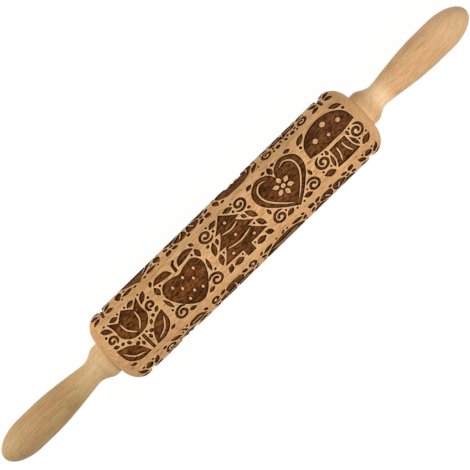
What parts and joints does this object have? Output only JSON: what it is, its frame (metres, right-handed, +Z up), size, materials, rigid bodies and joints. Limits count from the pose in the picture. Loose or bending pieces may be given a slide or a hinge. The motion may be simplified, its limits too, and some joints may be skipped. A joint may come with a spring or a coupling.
{
  "type": "embossed rolling pin",
  "caption": "Wooden rolling pin with an engraved barrel that turns on ball bearings between two turned handles.",
  "frame": {"origin": "on the surface the pin rests on, under the middle of its barrel", "axes": "+X along the pin's axis towards the right handle, +Z up, +Y to the back"},
  "size_m": [0.435, 0.054, 0.054],
  "materials": {
    "beech_barrel": "sanded beech, pockets burnt brown by laser engraving",
    "beech_handle": "sanded beech, lightly oiled",
    "axle_steel": "bright drawn",
    "bearing_steel": "ground and polished",
    "shield_steel": "pressed sheet",
    "spring_steel": "oiled black",
    "brass": "turned",
    "cage_nylon": "moulded"
  },
  "bodies": {
    "handles_and_axle": {"axle_rod": "axle_steel", "left_handle": "beech_handle", "right_handle": "beech_handle", "left_threaded_insert": "brass", "right_threaded_insert": "brass", "left_spacer_ring": "axle_steel", "right_spacer_ring": "axle_steel", "left_retaining_clip": "spring_steel", "right_retaining_clip": "spring_steel", "left_bearing_inner_race": "bearing_steel", "right_bearing_inner_race": "bearing_steel"},
    "barrel": {"barrel": "beech_barrel", "left_bearing_outer_race": "bearing_steel", "right_bearing_outer_race": "bearing_steel", "left_outboard_shield": "shield_steel", "right_outboard_shield": "shield_steel", "left_inboard_shield": "shield_steel", "right_inboard_shield": "shield_steel"},
    "left_cage": {"left_ball_cage": "cage_nylon", "left_ball_1": "bearing_steel", "left_ball_2": "bearing_steel", "left_ball_3": "bearing_steel", "left_ball_4": "bearing_steel", "left_ball_5": "bearing_steel", "left_ball_6": "bearing_steel", "left_ball_7": "bearing_steel"},
    "right_cage": {"right_ball_cage": "cage_nylon", "right_ball_1": "bearing_steel", "right_ball_2": "bearing_steel", "right_ball_3": "bearing_steel", "right_ball_4": "bearing_steel", "right_ball_5": "bearing_steel", "right_ball_6": "bearing_steel", "right_ball_7": "bearing_steel"}
  },
  "joints": [
    {"name": "barrel_spin", "type": "hinge", "parent": "handles_and_axle", "child": "barrel", "pos_m": [0, 0, 0.027], "axis": [1, 0, 0], "continuous": true},
    {"name": "left_cage_spin", "type": "hinge", "parent": "handles_and_axle", "child": "left_cage", "pos_m": [-0.1145, 0, 0.027], "axis": [1, 0, 0], "continuous": true},
    {"name": "right_cage_spin", "type": "hinge", "parent": "handles_and_axle", "child": "right_cage", "pos_m": [0.1145, 0, 0.027], "axis": [1, 0, 0], "continuous": true}
  ],
  "couplings": [
    {"joint": "left_cage_spin", "follows": "barrel_spin", "ratio": 0.6176},
    {"joint": "right_cage_spin", "follows": "barrel_spin", "ratio": 0.6176}
  ]
}
